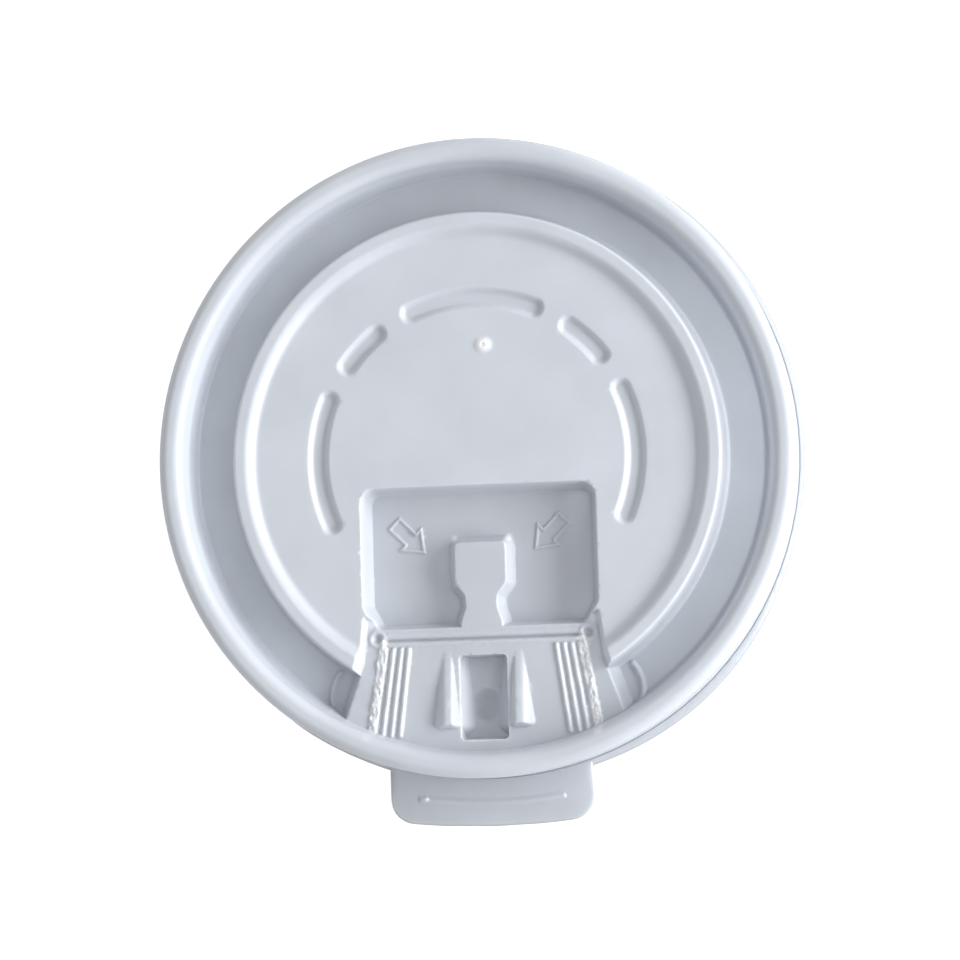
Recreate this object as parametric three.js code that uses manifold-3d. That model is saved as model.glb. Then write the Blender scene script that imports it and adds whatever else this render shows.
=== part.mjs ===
// Takeaway coffee cup lid with a lift-back drinking flap: one thermoformed plastic sheet.
// Millimetres, +Z up. The lid's axis is Z, the drinking side and the lift tab point to -Y.
// The origin is on the axis, in the flat top face of the centre panel.
//
// The sheet is the space between two solids: the outer one has the lid's upper and outer
// surface, and the inner one is the same form moved in by the sheet's thickness.
// Heights below are measured up from the lip's bottom face.

import * as THREE from 'three';
import { mergeVertices } from 'three/addons/utils/BufferGeometryUtils.js';
import Module from 'manifold-3d';

const wasm = await Module();
wasm.setup();

// Sheet, skirt and lip
const sheet = 0.4;
const skirtRadius = 45.35;
const lipWidth = 0.85;
const lipRadius = skirtRadius + lipWidth;
const snapBulge = 0.7;
const snapHeight = 3.1;
const snapHalfHeight = 1.5;

// Rim, trough and ring, each measured inwards from the last
const rimHeight = 10.4;
const rimWidth = 3.25;
const rimFlat = 0.25;
const rimRound = (rimWidth - rimFlat) / 2;
const rimInnerRadius = skirtRadius - rimWidth;
const rimDraft = 1.0;
const rimFootRadius = rimInnerRadius - rimDraft;
const troughHeight = 3.0;
const troughWidth = 5.6;
const footRound = 0.3;
const ringFootRadius = rimFootRadius - troughWidth;
const ringDraft = 0.7;
const ringOuterRadius = ringFootRadius - ringDraft;
const ringWidth = 1.9;
const ringInnerRadius = ringOuterRadius - ringWidth;
const ringSlopeWidth = 1.2;
const ringHeight = 8.6;
const ringRound = 0.7;
const panelHeight = 7.4;
const roundSteps = 2;
const turnSteps = 64;

// Recessed arc slots in the centre panel: angle of the middle, and half the spread of the end centres
const slotRadius = ringInnerRadius - 10.2;
const slotFloorWidth = 1.7;
const slotDepth = 0.7;
const slotDraft = 0.6;
const longSpread = 23;
const shortSpread = 7.7;
const slots = [
  { middle: 0, spread: longSpread },
  { middle: 45, spread: shortSpread },
  { middle: 90, spread: longSpread },
  { middle: 135, spread: shortSpread },
  { middle: 180, spread: longSpread },
];

// Vent pinhole in its small raised seat
const ventX = 1.5;
const ventY = slotRadius - 6.8;
const ventRadius = 0.3;
const ventSeatRadius = 0.9;
const ventSeatHeight = 0.3;
const ventSeatDraft = 0.3;

// Hinge groove across the root of the flap, and the pocket behind it for the folded-back flap
const hingeY = -(ringFootRadius - 9.9);
const pocketFrontY = hingeY + 2.3;
const pocketBackY = pocketFrontY + 17.9;
const pocketDepth = 4.0;
const pocketHalfWidth = 15.35;
const pocketRound = 1.3;
const pocketChamferX = 1.5;
const pocketChamferY = 2.7;
const pocketFloor = panelHeight - pocketDepth;
const wallSlope = 0.35;
const hingeHalfLength = pocketHalfWidth - 1.45;
const hingeFloorWidth = 0.4;
const hingeDepth = 0.4;
const hingeDraft = 0.35;
const dimpleX = pocketHalfWidth - 0.35;
const dimpleY = hingeY + 0.3;
const dimpleFloorRadius = 0.5;

// Front panel, stepped down from the centre panel and bridging the trough
const frontHeight = 6.2;
const frontBackHalfWidth = pocketHalfWidth + wallSlope * (frontHeight - pocketFloor);
const frontRingHalfWidth = frontBackHalfWidth + 1.2;
const frontRimHalfWidth = frontBackHalfWidth + 4.0;
const frontBackY = pocketFrontY + 0.7;
const frontRingY = hingeY - 3.0;
const frontSteps = 8;

// Lock post standing in the pocket, joined to the front panel by its neck
const postHalfWidth = 3.7;
const postBackY = pocketFrontY + 11.3;
const postShoulderY = pocketFrontY + 5.5;
const neckHalfWidth = 2.3;
const neckBackY = pocketFrontY + 3.7;
const neckFrontY = pocketFrontY + 2.0;
const postRootHalfWidth = 3.0;

// Arrow outlines standing on the pocket floor, pointing at the post's neck
const arrowTipX = postHalfWidth + 4.5;
const arrowTipY = postBackY - 1.8;
const arrowLength = 5.6;
const arrowHeadLength = 2.6;
const arrowHeadHalfWidth = 2.3;
const arrowShaftHalfWidth = 1.15;
const arrowTurn = 36;
const arrowLine = 0.3;
const arrowHeight = 0.2;

// Slanted tear ribs on both sides of the flap, the outermost one broad
const ribBackY = hingeY - 1.3;
const ribFrontY = -(rimFootRadius - 2.1);
const ribHeight = 0.4;
const ribDraft = 0.2;
const ribBackX = 10.5;
const ribBackPitch = 1.1;
const ribFrontX = 12.1;
const ribFrontPitch = 1.25;
const ribTopWidth = 0.35;
const broadRibTopWidth = 1.1;
const ribTopWidths = [ribTopWidth, ribTopWidth, ribTopWidth, broadRibTopWidth];

// Narrow pocket in the flap, with a round bowl pressed into its floor
const keyPocketHalfWidth = 3.05;
const keyPocketBackY = hingeY - 2.6;
const keyPocketFrontY = -(rimFootRadius - 1.4);
const keyPocketDepth = 3.0;
const keyPocketRound = 0.5;
const keyPocketSlope = 0.15;
const bowlY = keyPocketFrontY + 4.8;
const bowlRadius = 2.6;
const bowlDepth = 1.1;

// Finger wedges beside the narrow pocket, rising to the front
const wedgeInnerX = keyPocketHalfWidth + 1.1;
const wedgeOuterX = wedgeInnerX + 2.95;
const wedgeBackY = hingeY - 2.0;
const wedgeFrontY = -(rimFootRadius - 2.9);
const wedgeHeight = 1.5;
const wedgeNose = 0.6;

// Crescent stiffening ridges in the trough, beside the front panel
const crescentRadius = rimFootRadius - 2.05;
const crescentAngle = -55.5;
const crescentHalfLength = 2.6;
const crescentBulge = 0.7;
const crescentLean = 12;
const crescentTopWidth = 0.3;
const crescentHeight = 0.5;
const crescentDraft = 0.2;

// Lift tab at the lip
const tabHalfWidth = 14.6;
const tabReach = 6.0;
const tabRound = 3.6;
const tabBow = 0.9;
const creaseSetback = 3.3;
const creaseHalfLength = 10.2;
const creaseBow = 0.8;
const creaseWidth = 0.5;
const creaseHeight = 0.25;

const beyond = 3.0;

const degrees = (angle) => (angle * Math.PI) / 180;

/** A closed three.js geometry as a manifold solid with its faces pointing out. */
function solidOf(geometry) {
  const bare = geometry.index ? geometry.toNonIndexed() : geometry;
  bare.deleteAttribute('normal');
  bare.deleteAttribute('uv');
  const merged = mergeVertices(bare, 1e-4);
  const positions = merged.attributes.position.array;
  const index = merged.index.array;
  const corners = [];
  for (let i = 0; i < index.length; i += 3) {
    const [a, b, c] = [index[i], index[i + 1], index[i + 2]];
    if (a !== b && b !== c && c !== a) corners.push(a, b, c);
  }
  if (signedVolume(positions, corners) < 0) corners.reverse();
  return new wasm.Manifold(new wasm.Mesh({
    numProp: 3,
    vertProperties: new Float32Array(positions),
    triVerts: new Uint32Array(corners),
  }));
}

/** Six times the volume inside the triangles, negative when they face inwards. */
function signedVolume(positions, corners) {
  const point = (i) => new THREE.Vector3().fromArray(positions, 3 * i);
  let sum = 0;
  for (let i = 0; i < corners.length; i += 3) {
    sum += point(corners[i]).dot(point(corners[i + 1]).cross(point(corners[i + 2])));
  }
  return sum;
}

/** The line through the corners, each rounded by its own radius (no arc where the radius is 0). */
function rounded(corners) {
  const points = [];
  corners.forEach(([x, y, radius = 0], i) => {
    const here = new THREE.Vector2(x, y);
    if (!radius) {
      points.push(here);
      return;
    }
    const before = new THREE.Vector2(...corners[i - 1]).sub(here).normalize();
    const after = new THREE.Vector2(...corners[i + 1]).sub(here).normalize();
    const half = Math.acos(before.dot(after)) / 2;
    const reach = radius / Math.tan(half);
    const start = here.clone().addScaledVector(before, reach);
    const end = here.clone().addScaledVector(after, reach);
    const centre = here.clone().addScaledVector(
      before.clone().add(after).normalize(), radius / Math.sin(half));
    const from = start.clone().sub(centre).angle();
    let turn = end.clone().sub(centre).angle() - from;
    turn = Math.atan2(Math.sin(turn), Math.cos(turn));
    for (let k = 0; k <= roundSteps; k += 1) {
      const angle = from + (turn * k) / roundSteps;
      points.push(new THREE.Vector2(Math.cos(angle), Math.sin(angle))
        .multiplyScalar(radius).add(centre));
    }
  });
  return points;
}

/** The line moved to its right by a distance, with mitred corners. */
function movedRight(points, distance) {
  const side = (a, b) => {
    const along = b.clone().sub(a).normalize();
    return new THREE.Vector2(along.y, -along.x);
  };
  return points.map((point, i) => {
    const first = side(points[Math.max(i - 1, 0)], points[Math.max(i, 1)]);
    const last = points.length - 1;
    const second = side(points[Math.min(i, last - 1)], points[Math.min(i + 1, last)]);
    const mitre = first.clone().add(second);
    return point.clone().addScaledVector(mitre, distance / (1 + first.dot(second)));
  });
}

/** The round surface from the axis out over the ring, trough and rim, and down the skirt. */
function roundProfile() {
  return rounded([
    [0, panelHeight],
    [ringInnerRadius - ringSlopeWidth, panelHeight, ringRound],
    [ringInnerRadius, ringHeight, ringRound],
    [ringOuterRadius, ringHeight, ringRound],
    [ringFootRadius, troughHeight, footRound],
    [rimFootRadius, troughHeight, footRound],
    [rimInnerRadius, rimHeight, rimRound],
    [skirtRadius, rimHeight, rimRound],
    [skirtRadius, snapHeight + snapHalfHeight],
    [skirtRadius - snapBulge, snapHeight],
    [skirtRadius, snapHeight - snapHalfHeight],
    [skirtRadius, sheet],
  ]);
}

/** The solid below a round profile that ends on a floor under the lid. */
function turned(profile, floor) {
  const last = profile[profile.length - 1];
  const closed = [...profile, new THREE.Vector2(last.x, floor), new THREE.Vector2(0, floor)];
  return solidOf(new THREE.LatheGeometry(closed, turnSteps).rotateX(Math.PI / 2));
}

/** A block with sloping sides: the outline at narrowZ, wider by the flare at wideZ. */
function flared(outline, narrowZ, wideZ, flare, offset = 0) {
  const slope = Math.abs(wideZ - narrowZ);
  const geometry = new THREE.ExtrudeGeometry(new THREE.Shape(outline), {
    depth: beyond,
    bevelThickness: slope,
    bevelSize: flare,
    bevelOffset: offset,
    bevelSegments: 1,
  });
  const lowest = wideZ > narrowZ ? narrowZ : wideZ - beyond - slope;
  geometry.translate(0, 0, lowest + slope);
  return solidOf(geometry);
}

/** How far a wall's foot or top moves sideways so that the sheet keeps its thickness. */
function cornerShift(height, draft) {
  return sheet * Math.tan(Math.atan2(height, draft) / 2);
}

/** The lid while it is being formed: the outer and the inner solid, changed together. */
const form = {};

/** Presses an outline down into a flat level of the sheet. */
function press(outline, level, depth, draft) {
  const shift = cornerShift(depth, draft);
  const floor = level - depth;
  form.outer = form.outer.subtract(flared(outline, floor, level, draft));
  form.inner = form.inner.subtract(flared(outline, floor - sheet, level - sheet, draft, shift));
}

/** Raises an outline from a flat level of the sheet. */
function raise(outline, level, height, draft) {
  const shift = cornerShift(height, draft);
  const top = level + height;
  form.outer = form.outer.add(flared(outline, top, level, draft));
  form.inner = form.inner.add(flared(outline, top - sheet, level - sheet, draft, -shift));
}

/** Raises a fine line on the upper side alone, too narrow to show below. */
function emboss(outline, level, height, draft) {
  form.outer = form.outer.add(flared(outline, level + height, level, draft));
}

const mirrored = (points) => points.map(({ x, y }) => new THREE.Vector2(-x, y)).reverse();

/** A band of even width along an arc about the lid's axis, with round ends. */
function arcBand(radius, width, middle, spread, steps) {
  const shape = new THREE.Shape();
  const start = degrees(middle - spread);
  const end = degrees(middle + spread);
  const at = (angle) => [radius * Math.cos(angle), radius * Math.sin(angle)];
  shape.absarc(0, 0, radius + width / 2, start, end, false);
  shape.absarc(...at(end), width / 2, end, end + Math.PI, false);
  shape.absarc(0, 0, radius - width / 2, end, start, true);
  shape.absarc(...at(start), width / 2, start + Math.PI, start + 2 * Math.PI, false);
  return shape.getPoints(steps);
}

/** A circle as a closed outline. */
function circle(x, y, radius, steps) {
  return new THREE.Shape().absarc(x, y, radius, 0, 2 * Math.PI, false).getPoints(steps);
}

/** A straight band of even width between two points. */
function strip(from, to, width) {
  const side = to.clone().sub(from).normalize().rotateAround(new THREE.Vector2(), Math.PI / 2);
  side.multiplyScalar(width / 2);
  return [from.clone().sub(side), to.clone().sub(side), to.clone().add(side), from.clone().add(side)];
}

/** A thin bowed band: an arc of a circle through its two ends and its bulge. */
function bowed(x, y, halfLength, bulge, turn, width) {
  const radius = (halfLength ** 2 + bulge ** 2) / (2 * bulge);
  const spread = (Math.asin(halfLength / radius) * 180) / Math.PI;
  const centre = new THREE.Vector2(x, y);
  return arcBand(radius, width, 0, spread, 4).map((point) => point
    .sub(new THREE.Vector2(radius, 0)).rotateAround(new THREE.Vector2(), degrees(turn)).add(centre));
}

/** The five arc slots. */
function pressSlots() {
  for (const { middle, spread } of slots) {
    const outline = arcBand(slotRadius, slotFloorWidth, middle, spread, spread > 10 ? 8 : 4);
    press(outline, panelHeight, slotDepth, slotDraft);
  }
}

/** The vent's raised seat, and the pinhole through the sheet. */
function pierceVent() {
  emboss(circle(ventX, ventY, ventSeatRadius, 12), panelHeight, ventSeatHeight, ventSeatDraft);
  const pin = new THREE.CylinderGeometry(ventRadius, ventRadius, 2 * beyond, 12);
  pin.rotateX(Math.PI / 2).translate(ventX, ventY, panelHeight);
  form.outer = form.outer.subtract(solidOf(pin));
}

/** How far the front panel's block runs in under the rim, so that it meets the rim's wall. */
const frontReach = rimInnerRadius + 2 * sheet;

/** Half the front panel's outline, from its back corner to the rim. */
function frontSide() {
  const rimY = -Math.sqrt(frontReach ** 2 - frontRimHalfWidth ** 2);
  return [
    new THREE.Vector2(frontBackHalfWidth, frontBackY),
    new THREE.Vector2(frontRingHalfWidth, frontRingY),
    new THREE.Vector2(frontRimHalfWidth, rimY),
  ];
}

/** The front panel: filled up over the trough, and cut down through the ring. */
function formFrontPanel() {
  const side = frontSide();
  const end = Math.asin(frontRimHalfWidth / frontReach);
  const front = [];
  for (let k = 1; k < frontSteps; k += 1) {
    const angle = end - (2 * end * k) / frontSteps;
    front.push(new THREE.Vector2(Math.sin(angle), -Math.cos(angle)).multiplyScalar(frontReach));
  }
  const outline = [...mirrored([...side]), ...side, ...front];
  const rise = frontHeight - troughHeight;
  raise(outline, troughHeight, rise, rise * wallSlope);
  const trough = (rimFootRadius + ringFootRadius) / 2;
  const across = side[1].clone().lerp(side[2], 0.6);
  const cut = [
    ...mirrored([side[0], side[1], across]), side[0], side[1], across, new THREE.Vector2(0, -trough),
  ];
  const drop = ringHeight - frontHeight;
  press(cut, ringHeight, drop, drop * wallSlope);
}

/** The pocket, with rounded back corners and chamfered front corners. */
function pressPocket() {
  const x = pocketHalfWidth;
  const back = pocketBackY;
  const bend = pocketRound;
  const right = rounded([
    [0, back], [x, back, bend], [x, pocketFrontY + pocketChamferY], [x - pocketChamferX, pocketFrontY],
  ]).slice(1);
  press([...right, ...mirrored(right)], panelHeight, pocketDepth, pocketDepth * wallSlope);
}

/** The lock post, its top level with the front panel. */
function raisePost() {
  const right = [
    [postHalfWidth, postBackY], [postHalfWidth, postShoulderY], [neckHalfWidth, neckBackY],
    [neckHalfWidth, neckFrontY], [postRootHalfWidth, pocketFrontY], [postRootHalfWidth, hingeY],
  ].map(([x, y]) => new THREE.Vector2(x, y));
  const height = frontHeight - pocketFloor;
  raise([...right, ...mirrored(right)], pocketFloor, height, height * wallSlope);
}

/** An arrow's outline as closed points, its tip at the origin and its shaft along -X. */
function arrow(inset) {
  const neck = -arrowHeadLength + inset;
  const shaft = arrowShaftHalfWidth - inset;
  const wing = arrowHeadHalfWidth - 1.6 * inset;
  return [
    [-1.6 * inset, 0], [neck, wing], [neck, shaft], [-arrowLength + inset, shaft],
    [-arrowLength + inset, -shaft], [neck, -shaft], [neck, -wing],
  ];
}

/** The two arrow outlines on the pocket floor, mirrored about the lid's middle. */
function embossArrows() {
  for (const side of [-1, 1]) {
    const place = ([x, y]) => new THREE.Vector2(x, y)
      .rotateAround(new THREE.Vector2(), degrees(side < 0 ? -arrowTurn : 180 + arrowTurn))
      .add(new THREE.Vector2(side * arrowTipX, arrowTipY));
    const shape = new THREE.Shape(arrow(0).map(place));
    shape.holes.push(new THREE.Path(arrow(arrowLine).map(place)));
    const line = new THREE.ExtrudeGeometry(shape, { depth: 2 * arrowHeight, bevelEnabled: false });
    line.translate(0, 0, pocketFloor - arrowHeight);
    form.outer = form.outer.add(solidOf(line));
  }
}

/** The hinge groove and the dimples at its ends. */
function pressHinge() {
  const [left, right] = [-1, 1].map((side) => new THREE.Vector2(side * hingeHalfLength, hingeY));
  press(strip(left, right, hingeFloorWidth), frontHeight, hingeDepth, hingeDraft);
  for (const side of [-1, 1]) {
    press(circle(side * dimpleX, dimpleY, dimpleFloorRadius, 8), frontHeight, hingeDepth, hingeDraft);
  }
}

/** The tear ribs on both sides of the flap. */
function embossRibs() {
  ribTopWidths.forEach((width, k) => {
    const aside = (width - ribTopWidth) / 2;
    for (const side of [-1, 1]) {
      const back = new THREE.Vector2(side * (ribBackX + k * ribBackPitch + aside), ribBackY);
      const front = new THREE.Vector2(side * (ribFrontX + k * ribFrontPitch + aside), ribFrontY);
      emboss(strip(back, front, width), frontHeight, ribHeight, ribDraft);
    }
  });
}

/** The narrow pocket in the flap, and the bowl in its floor. */
function pressKeyPocket() {
  const x = keyPocketHalfWidth;
  const middle = (keyPocketBackY + keyPocketFrontY) / 2;
  const right = rounded([
    [0, keyPocketBackY], [x, keyPocketBackY, keyPocketRound], [x, middle],
    [x, keyPocketFrontY, keyPocketRound], [0, keyPocketFrontY],
  ]).slice(1, -1);
  press([...right, ...mirrored(right)], frontHeight, keyPocketDepth,
    keyPocketDepth * keyPocketSlope);
  const floor = frontHeight - keyPocketDepth;
  const radius = (bowlRadius ** 2 + bowlDepth ** 2) / (2 * bowlDepth);
  const bowl = (grow) => solidOf(new THREE.SphereGeometry(radius + grow, 24, 24)
    .rotateX(Math.PI / 2).translate(0, bowlY, floor + radius - bowlDepth));
  const over = flared(circle(0, bowlY, bowlRadius + sheet, 24), floor + sheet / 2, floor - sheet, 0);
  form.outer = form.outer.subtract(bowl(0).intersect(over));
  form.inner = form.inner.subtract(bowl(sheet).intersect(over));
}

/** The finger wedges, each a sloping block with a steep nose. */
function raiseWedges() {
  const block = (inner, outer, drop) => {
    const side = new THREE.Shape([
      [wedgeBackY, frontHeight - beyond], [wedgeBackY, frontHeight - drop],
      [wedgeFrontY + wedgeNose, frontHeight + wedgeHeight - drop],
      [wedgeFrontY, frontHeight - drop], [wedgeFrontY, frontHeight - beyond],
    ].map(([y, z]) => new THREE.Vector2(y, z)));
    const geometry = new THREE.ExtrudeGeometry(side, { depth: outer - inner, bevelEnabled: false });
    const turn = new THREE.Matrix4().makeBasis(
      new THREE.Vector3(0, 1, 0), new THREE.Vector3(0, 0, 1), new THREE.Vector3(1, 0, 0));
    return solidOf(geometry.applyMatrix4(turn).translate(inner, 0, 0));
  };
  const thin = sheet / 2;
  for (const side of [-1, 1]) {
    const [near, far] = side < 0 ? [-wedgeOuterX, -wedgeInnerX] : [wedgeInnerX, wedgeOuterX];
    form.outer = form.outer.add(block(near, far, 0));
    form.inner = form.inner.add(block(near + thin, far - thin, sheet));
  }
}

/** The crescent ridges on the trough's floor. */
function embossCrescents() {
  const x = crescentRadius * Math.cos(degrees(crescentAngle));
  const y = crescentRadius * Math.sin(degrees(crescentAngle));
  const right = bowed(x, y, crescentHalfLength, crescentBulge, crescentLean, crescentTopWidth);
  emboss(right, troughHeight, crescentHeight, crescentDraft);
  emboss(mirrored(right), troughHeight, crescentHeight, crescentDraft);
}

/** The lip's flat flange and the lift tab on it, with the tab's bowed crease. */
function addLipAndTab() {
  const lip = new THREE.CylinderGeometry(lipRadius, lipRadius, sheet, turnSteps);
  lip.rotateX(Math.PI / 2).translate(0, 0, sheet / 2);
  const end = -(lipRadius + tabReach);
  const root = lipWidth - Math.sqrt(skirtRadius ** 2 - tabHalfWidth ** 2);
  const right = rounded([
    [tabHalfWidth, root], [tabHalfWidth, end + tabBow, tabRound], [0, end],
  ]).slice(0, -1);
  const tab = new THREE.ExtrudeGeometry(
    new THREE.Shape([...right, new THREE.Vector2(0, end), ...mirrored(right)]),
    { depth: sheet, bevelEnabled: false });
  form.outer = form.outer.add(solidOf(lip)).add(solidOf(tab));
  const crease = bowed(0, end + creaseSetback, creaseHalfLength, creaseBow, -90, creaseWidth);
  form.outer = form.outer.add(flared(crease, sheet + creaseHeight, sheet, creaseHeight)
    .intersect(flared(circle(0, end, 4 * tabReach, 24), sheet / 2, sheet + beyond, 0)));
}

/** The whole lid as one solid sheet. */
function formLid() {
  const outside = roundProfile();
  const inside = movedRight(outside, sheet);
  inside[0].x = 0;
  form.outer = turned(outside, 0);
  form.inner = turned(inside, -beyond);
  formFrontPanel();
  pressPocket();
  raisePost();
  embossArrows();
  pressSlots();
  pierceVent();
  pressHinge();
  embossRibs();
  pressKeyPocket();
  raiseWedges();
  embossCrescents();
  addLipAndTab();
  const reach = 2 * (lipRadius + tabReach);
  const aboveGround = new THREE.BoxGeometry(reach, reach, 2 * rimHeight).translate(0, 0, rimHeight);
  return form.outer.intersect(solidOf(aboveGround)).subtract(form.inner);
}

/** A solid as a three.js geometry. */
function geometryOf(solid) {
  const { numProp, vertProperties, triVerts } = solid.getMesh();
  const geometry = new THREE.BufferGeometry();
  const positions = new THREE.InterleavedBuffer(vertProperties, numProp);
  geometry.setAttribute('position', new THREE.InterleavedBufferAttribute(positions, 3, 0));
  geometry.setIndex(new THREE.BufferAttribute(triVerts, 1));
  const loose = geometry.toNonIndexed();
  loose.computeVertexNormals();
  return loose;
}

const coolTranslucentWhite = new THREE.MeshStandardMaterial({
  color: 0xdfe3ea, roughness: 0.35, metalness: 0,
});

const lid = new THREE.Mesh(geometryOf(formLid()), coolTranslucentWhite);
lid.name = 'lid';
lid.position.z = -panelHeight;

const coffeeLid = new THREE.Group();
coffeeLid.add(lid);

export default coffeeLid;
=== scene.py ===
"""Looks of a push-fit cup lid with a lift-back drinking flap, formed from one thin translucent sheet.

The sheet's top and underside are one closed surface. Its plan sizes are in millimetres and its heights
are measured up from the lip's bottom, until the mesh is made: that is in metres, with the centre panel's
top at zero.
"""

import logging
import math
from dataclasses import dataclass, field
from enum import Enum

import bpy
import numpy as np
from mathutils import Matrix, Vector


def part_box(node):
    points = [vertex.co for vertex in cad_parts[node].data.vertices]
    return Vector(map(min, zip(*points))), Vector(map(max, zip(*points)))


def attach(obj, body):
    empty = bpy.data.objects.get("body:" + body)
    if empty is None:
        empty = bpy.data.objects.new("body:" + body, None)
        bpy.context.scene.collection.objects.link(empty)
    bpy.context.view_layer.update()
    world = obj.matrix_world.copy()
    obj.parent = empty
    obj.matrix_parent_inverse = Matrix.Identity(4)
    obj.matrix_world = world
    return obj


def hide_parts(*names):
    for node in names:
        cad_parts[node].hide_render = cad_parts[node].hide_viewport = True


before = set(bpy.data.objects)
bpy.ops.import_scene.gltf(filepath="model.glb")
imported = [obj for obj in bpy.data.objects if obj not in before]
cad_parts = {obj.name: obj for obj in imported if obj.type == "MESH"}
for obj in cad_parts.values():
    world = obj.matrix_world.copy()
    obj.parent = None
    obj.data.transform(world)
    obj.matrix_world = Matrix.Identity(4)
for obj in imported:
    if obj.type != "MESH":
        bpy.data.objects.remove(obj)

LOG = logging.getLogger("lid")
MM = 0.001
Array = np.ndarray
SHOWS_BELOW = 0.35  # share of a fine bead's height that shows on the underside


class Side(Enum):
    """The two faces of the sheet."""

    TOP = 1
    UNDER = -1


# Curves and blends.


def soft_high(a: Array, b: Array, blend: float | Array) -> Array:
    """Higher of two heights, rounded by a parabola where they are closer than the blend.

    Args:
        a: The first heights.
        b: The second heights.
        blend: The difference within which the two melt together.

    Returns:
        max(a, b) plus a quarter of blend times the square of their closeness.
    """
    near = np.maximum(blend - np.abs(a - b), 0.0) / blend
    return np.maximum(a, b) + near * near * blend * 0.25


def soft_low(a: Array, b: Array, blend: float | Array) -> Array:
    """Lower of two heights, rounded in the way of soft_high."""
    return -soft_high(-a, -b, blend)


def ramp(x: Array) -> Array:
    """Smooth step from nothing at zero to one at one: three times the square less twice the cube."""
    t = np.clip(x, 0.0, 1.0)
    return t * t * (3.0 - 2.0 * t)


def ripple(x: Array, y: Array, seed: int) -> Array:
    """Even noise between minus one and one: random values on a lattice, joined by ramps between its points.

    Args:
        x: Places across, in steps of the lattice.
        y: Places along, in steps of the lattice.
        seed: Which noise it is.

    Returns:
        The noise at each place.
    """
    size = 64
    table = np.random.default_rng(seed).uniform(-1, 1, (size, size))
    i, j = np.floor(x).astype(int), np.floor(y).astype(int)
    u, v = ramp(x - i), ramp(y - j)
    near, far = (table[i % size, (j + k) % size] * (1 - u) + table[(i + 1) % size, (j + k) % size] * u
                 for k in (0, 1))
    return near * (1 - v) + far * v


def bump(x: Array) -> Array:
    """Bell of width one: the square of one minus x squared, and nothing outside."""
    return np.square(np.maximum(1.0 - np.square(x), 0.0))


def rounded(corners: list[tuple[float, ...]], step: float = 4.0) -> Array:
    """Line through corners whose third number is the radius of the arc that rounds them.

    Args:
        corners: (x, y) or (x, y, radius) along the line.
        step: Degrees of turn between the points of an arc.

    Returns:
        The points of the line, one in each row.
    """
    points: list[Array] = []
    for i, corner in enumerate(corners):
        here = np.array(corner[:2])
        radius = corner[2] if len(corner) > 2 else 0.0
        if not radius or i in (0, len(corners) - 1):
            points.append(here[None])
            continue
        before, after = np.array(corners[i - 1][:2]) - here, np.array(corners[i + 1][:2]) - here
        before, after = before / np.hypot(*before), after / np.hypot(*after)
        half = 0.5 * math.acos(float(np.clip(before @ after, -1, 1)))
        middle = (before + after) / np.hypot(*(before + after))
        centre = here + middle * radius / math.sin(half)
        start = here + before * radius / math.tan(half) - centre
        turn = math.pi - 2 * half
        turn = turn if start[0] * after[1] - start[1] * after[0] > 0 else -turn
        t = np.linspace(0, turn, max(int(math.degrees(abs(turn)) / step), 2) + 1)
        c, s = np.cos(t), np.sin(t)
        points.append(centre + np.stack([start[0] * c - start[1] * s, start[0] * s + start[1] * c], 1))
    return np.concatenate(points)


def bends(line: Array, at: Array, step: float = 12.0, straight: float = 0.4) -> Array:
    """Places along a line where it has turned by each further step, and the ends of its straight parts.

    Args:
        line: The line's points, one in each row.
        at: The place of each point, in any measure that grows along the line.
        step: Degrees of turn from one place to the next.
        straight: Length from which a part without a turn counts as straight.

    Returns:
        The places, ascending.
    """
    parts = np.diff(line, axis=0)
    way = np.unwrap(np.arctan2(parts[:, 1], parts[:, 0]))
    turned = np.concatenate([[0.0], np.cumsum(np.abs(np.diff(way)))])
    rows = np.searchsorted(turned, np.arange(0.0, turned[-1], math.radians(step)))
    long = np.nonzero(np.hypot(*parts.T) > straight)[0]
    return at[np.unique(np.concatenate([rows, long, long + 1]))]


def both_sides(right: Array) -> Array:
    """Closed outline from its right half, which is mirrored in the lid's middle plane."""
    return np.concatenate([right, (right * (-1, 1))[::-1]])


def polygon_gap(x: Array, y: Array, outline: Array) -> Array:
    """Signed distance from a closed outline: the shortest way to any edge, negative inside it.

    Args:
        x: Plan places across.
        y: Plan places along.
        outline: The corners, one in each row.

    Returns:
        The distance of each place, by the crossing rule for its sign.
    """
    best = np.full(x.shape, np.inf)
    inside = np.zeros(x.shape, bool)
    for (ax, ay), (bx, by) in zip(outline, np.roll(outline, -1, 0)):
        dx, dy = bx - ax, by - ay
        long = dx * dx + dy * dy
        if long < 1e-12:
            continue
        t = np.clip(((x - ax) * dx + (y - ay) * dy) / long, 0, 1)
        best = np.minimum(best, np.square(x - ax - t * dx) + np.square(y - ay - t * dy))
        if dy:
            crosses = (ay > y) != (by > y)
            inside ^= crosses & (x < ax + (y - ay) * dx / dy)
    return np.where(inside, -1.0, 1.0) * np.sqrt(best)


def strip_gap(x: Array, y: Array, a: tuple[float, float], b: tuple[float, float], half: float) -> Array:
    """Distance from a straight strip with round ends.

    Args:
        x: Plan places across.
        y: Plan places along.
        a: One end of its middle line.
        b: The other end.
        half: Half its width.

    Returns:
        The distance of each place from the middle line, less the half width.
    """
    dx, dy = b[0] - a[0], b[1] - a[1]
    t = np.clip(((x - a[0]) * dx + (y - a[1]) * dy) / (dx * dx + dy * dy), 0, 1)
    return np.hypot(x - a[0] - t * dx, y - a[1] - t * dy) - half


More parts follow.
